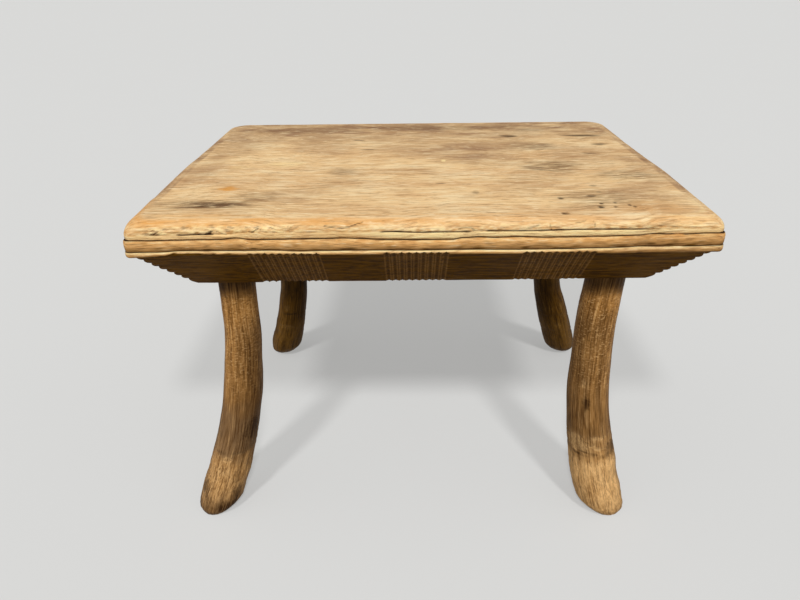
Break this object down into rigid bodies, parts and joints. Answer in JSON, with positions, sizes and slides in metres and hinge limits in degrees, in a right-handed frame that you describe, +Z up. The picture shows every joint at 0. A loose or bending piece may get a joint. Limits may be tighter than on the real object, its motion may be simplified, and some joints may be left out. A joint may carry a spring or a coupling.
{
  "type": "side table",
  "caption": "Low rustic wooden side table: a thick plank top with a carved moulded edge and a bevelled, ribbed and fluted under-block, on naturally bent branch legs.",
  "frame": {"origin": "on the floor, under the centre of the top", "axes": "+X along the top's length to the viewer's right, +Y from front to back, +Z up"},
  "size_m": [0.637, 0.4492, 0.44],
  "materials": {
    "top_wood": "dry, sun-bleached and worn, with a waxy sheen on the top face",
    "leg_wood": "dark brown, handled smooth, burr figure on the feet",
    "wedge_wood": "split and whittled, raw"
  },
  "bodies": {
    "root": {"top_block": "top_wood", "front_left_leg": "leg_wood", "front_right_leg": "leg_wood", "back_left_leg": "leg_wood", "back_right_leg": "leg_wood", "front_left_wedge": "wedge_wood", "front_right_wedge": "wedge_wood", "back_left_wedge": "wedge_wood", "back_right_wedge": "wedge_wood"}
  },
  "joints": []
}
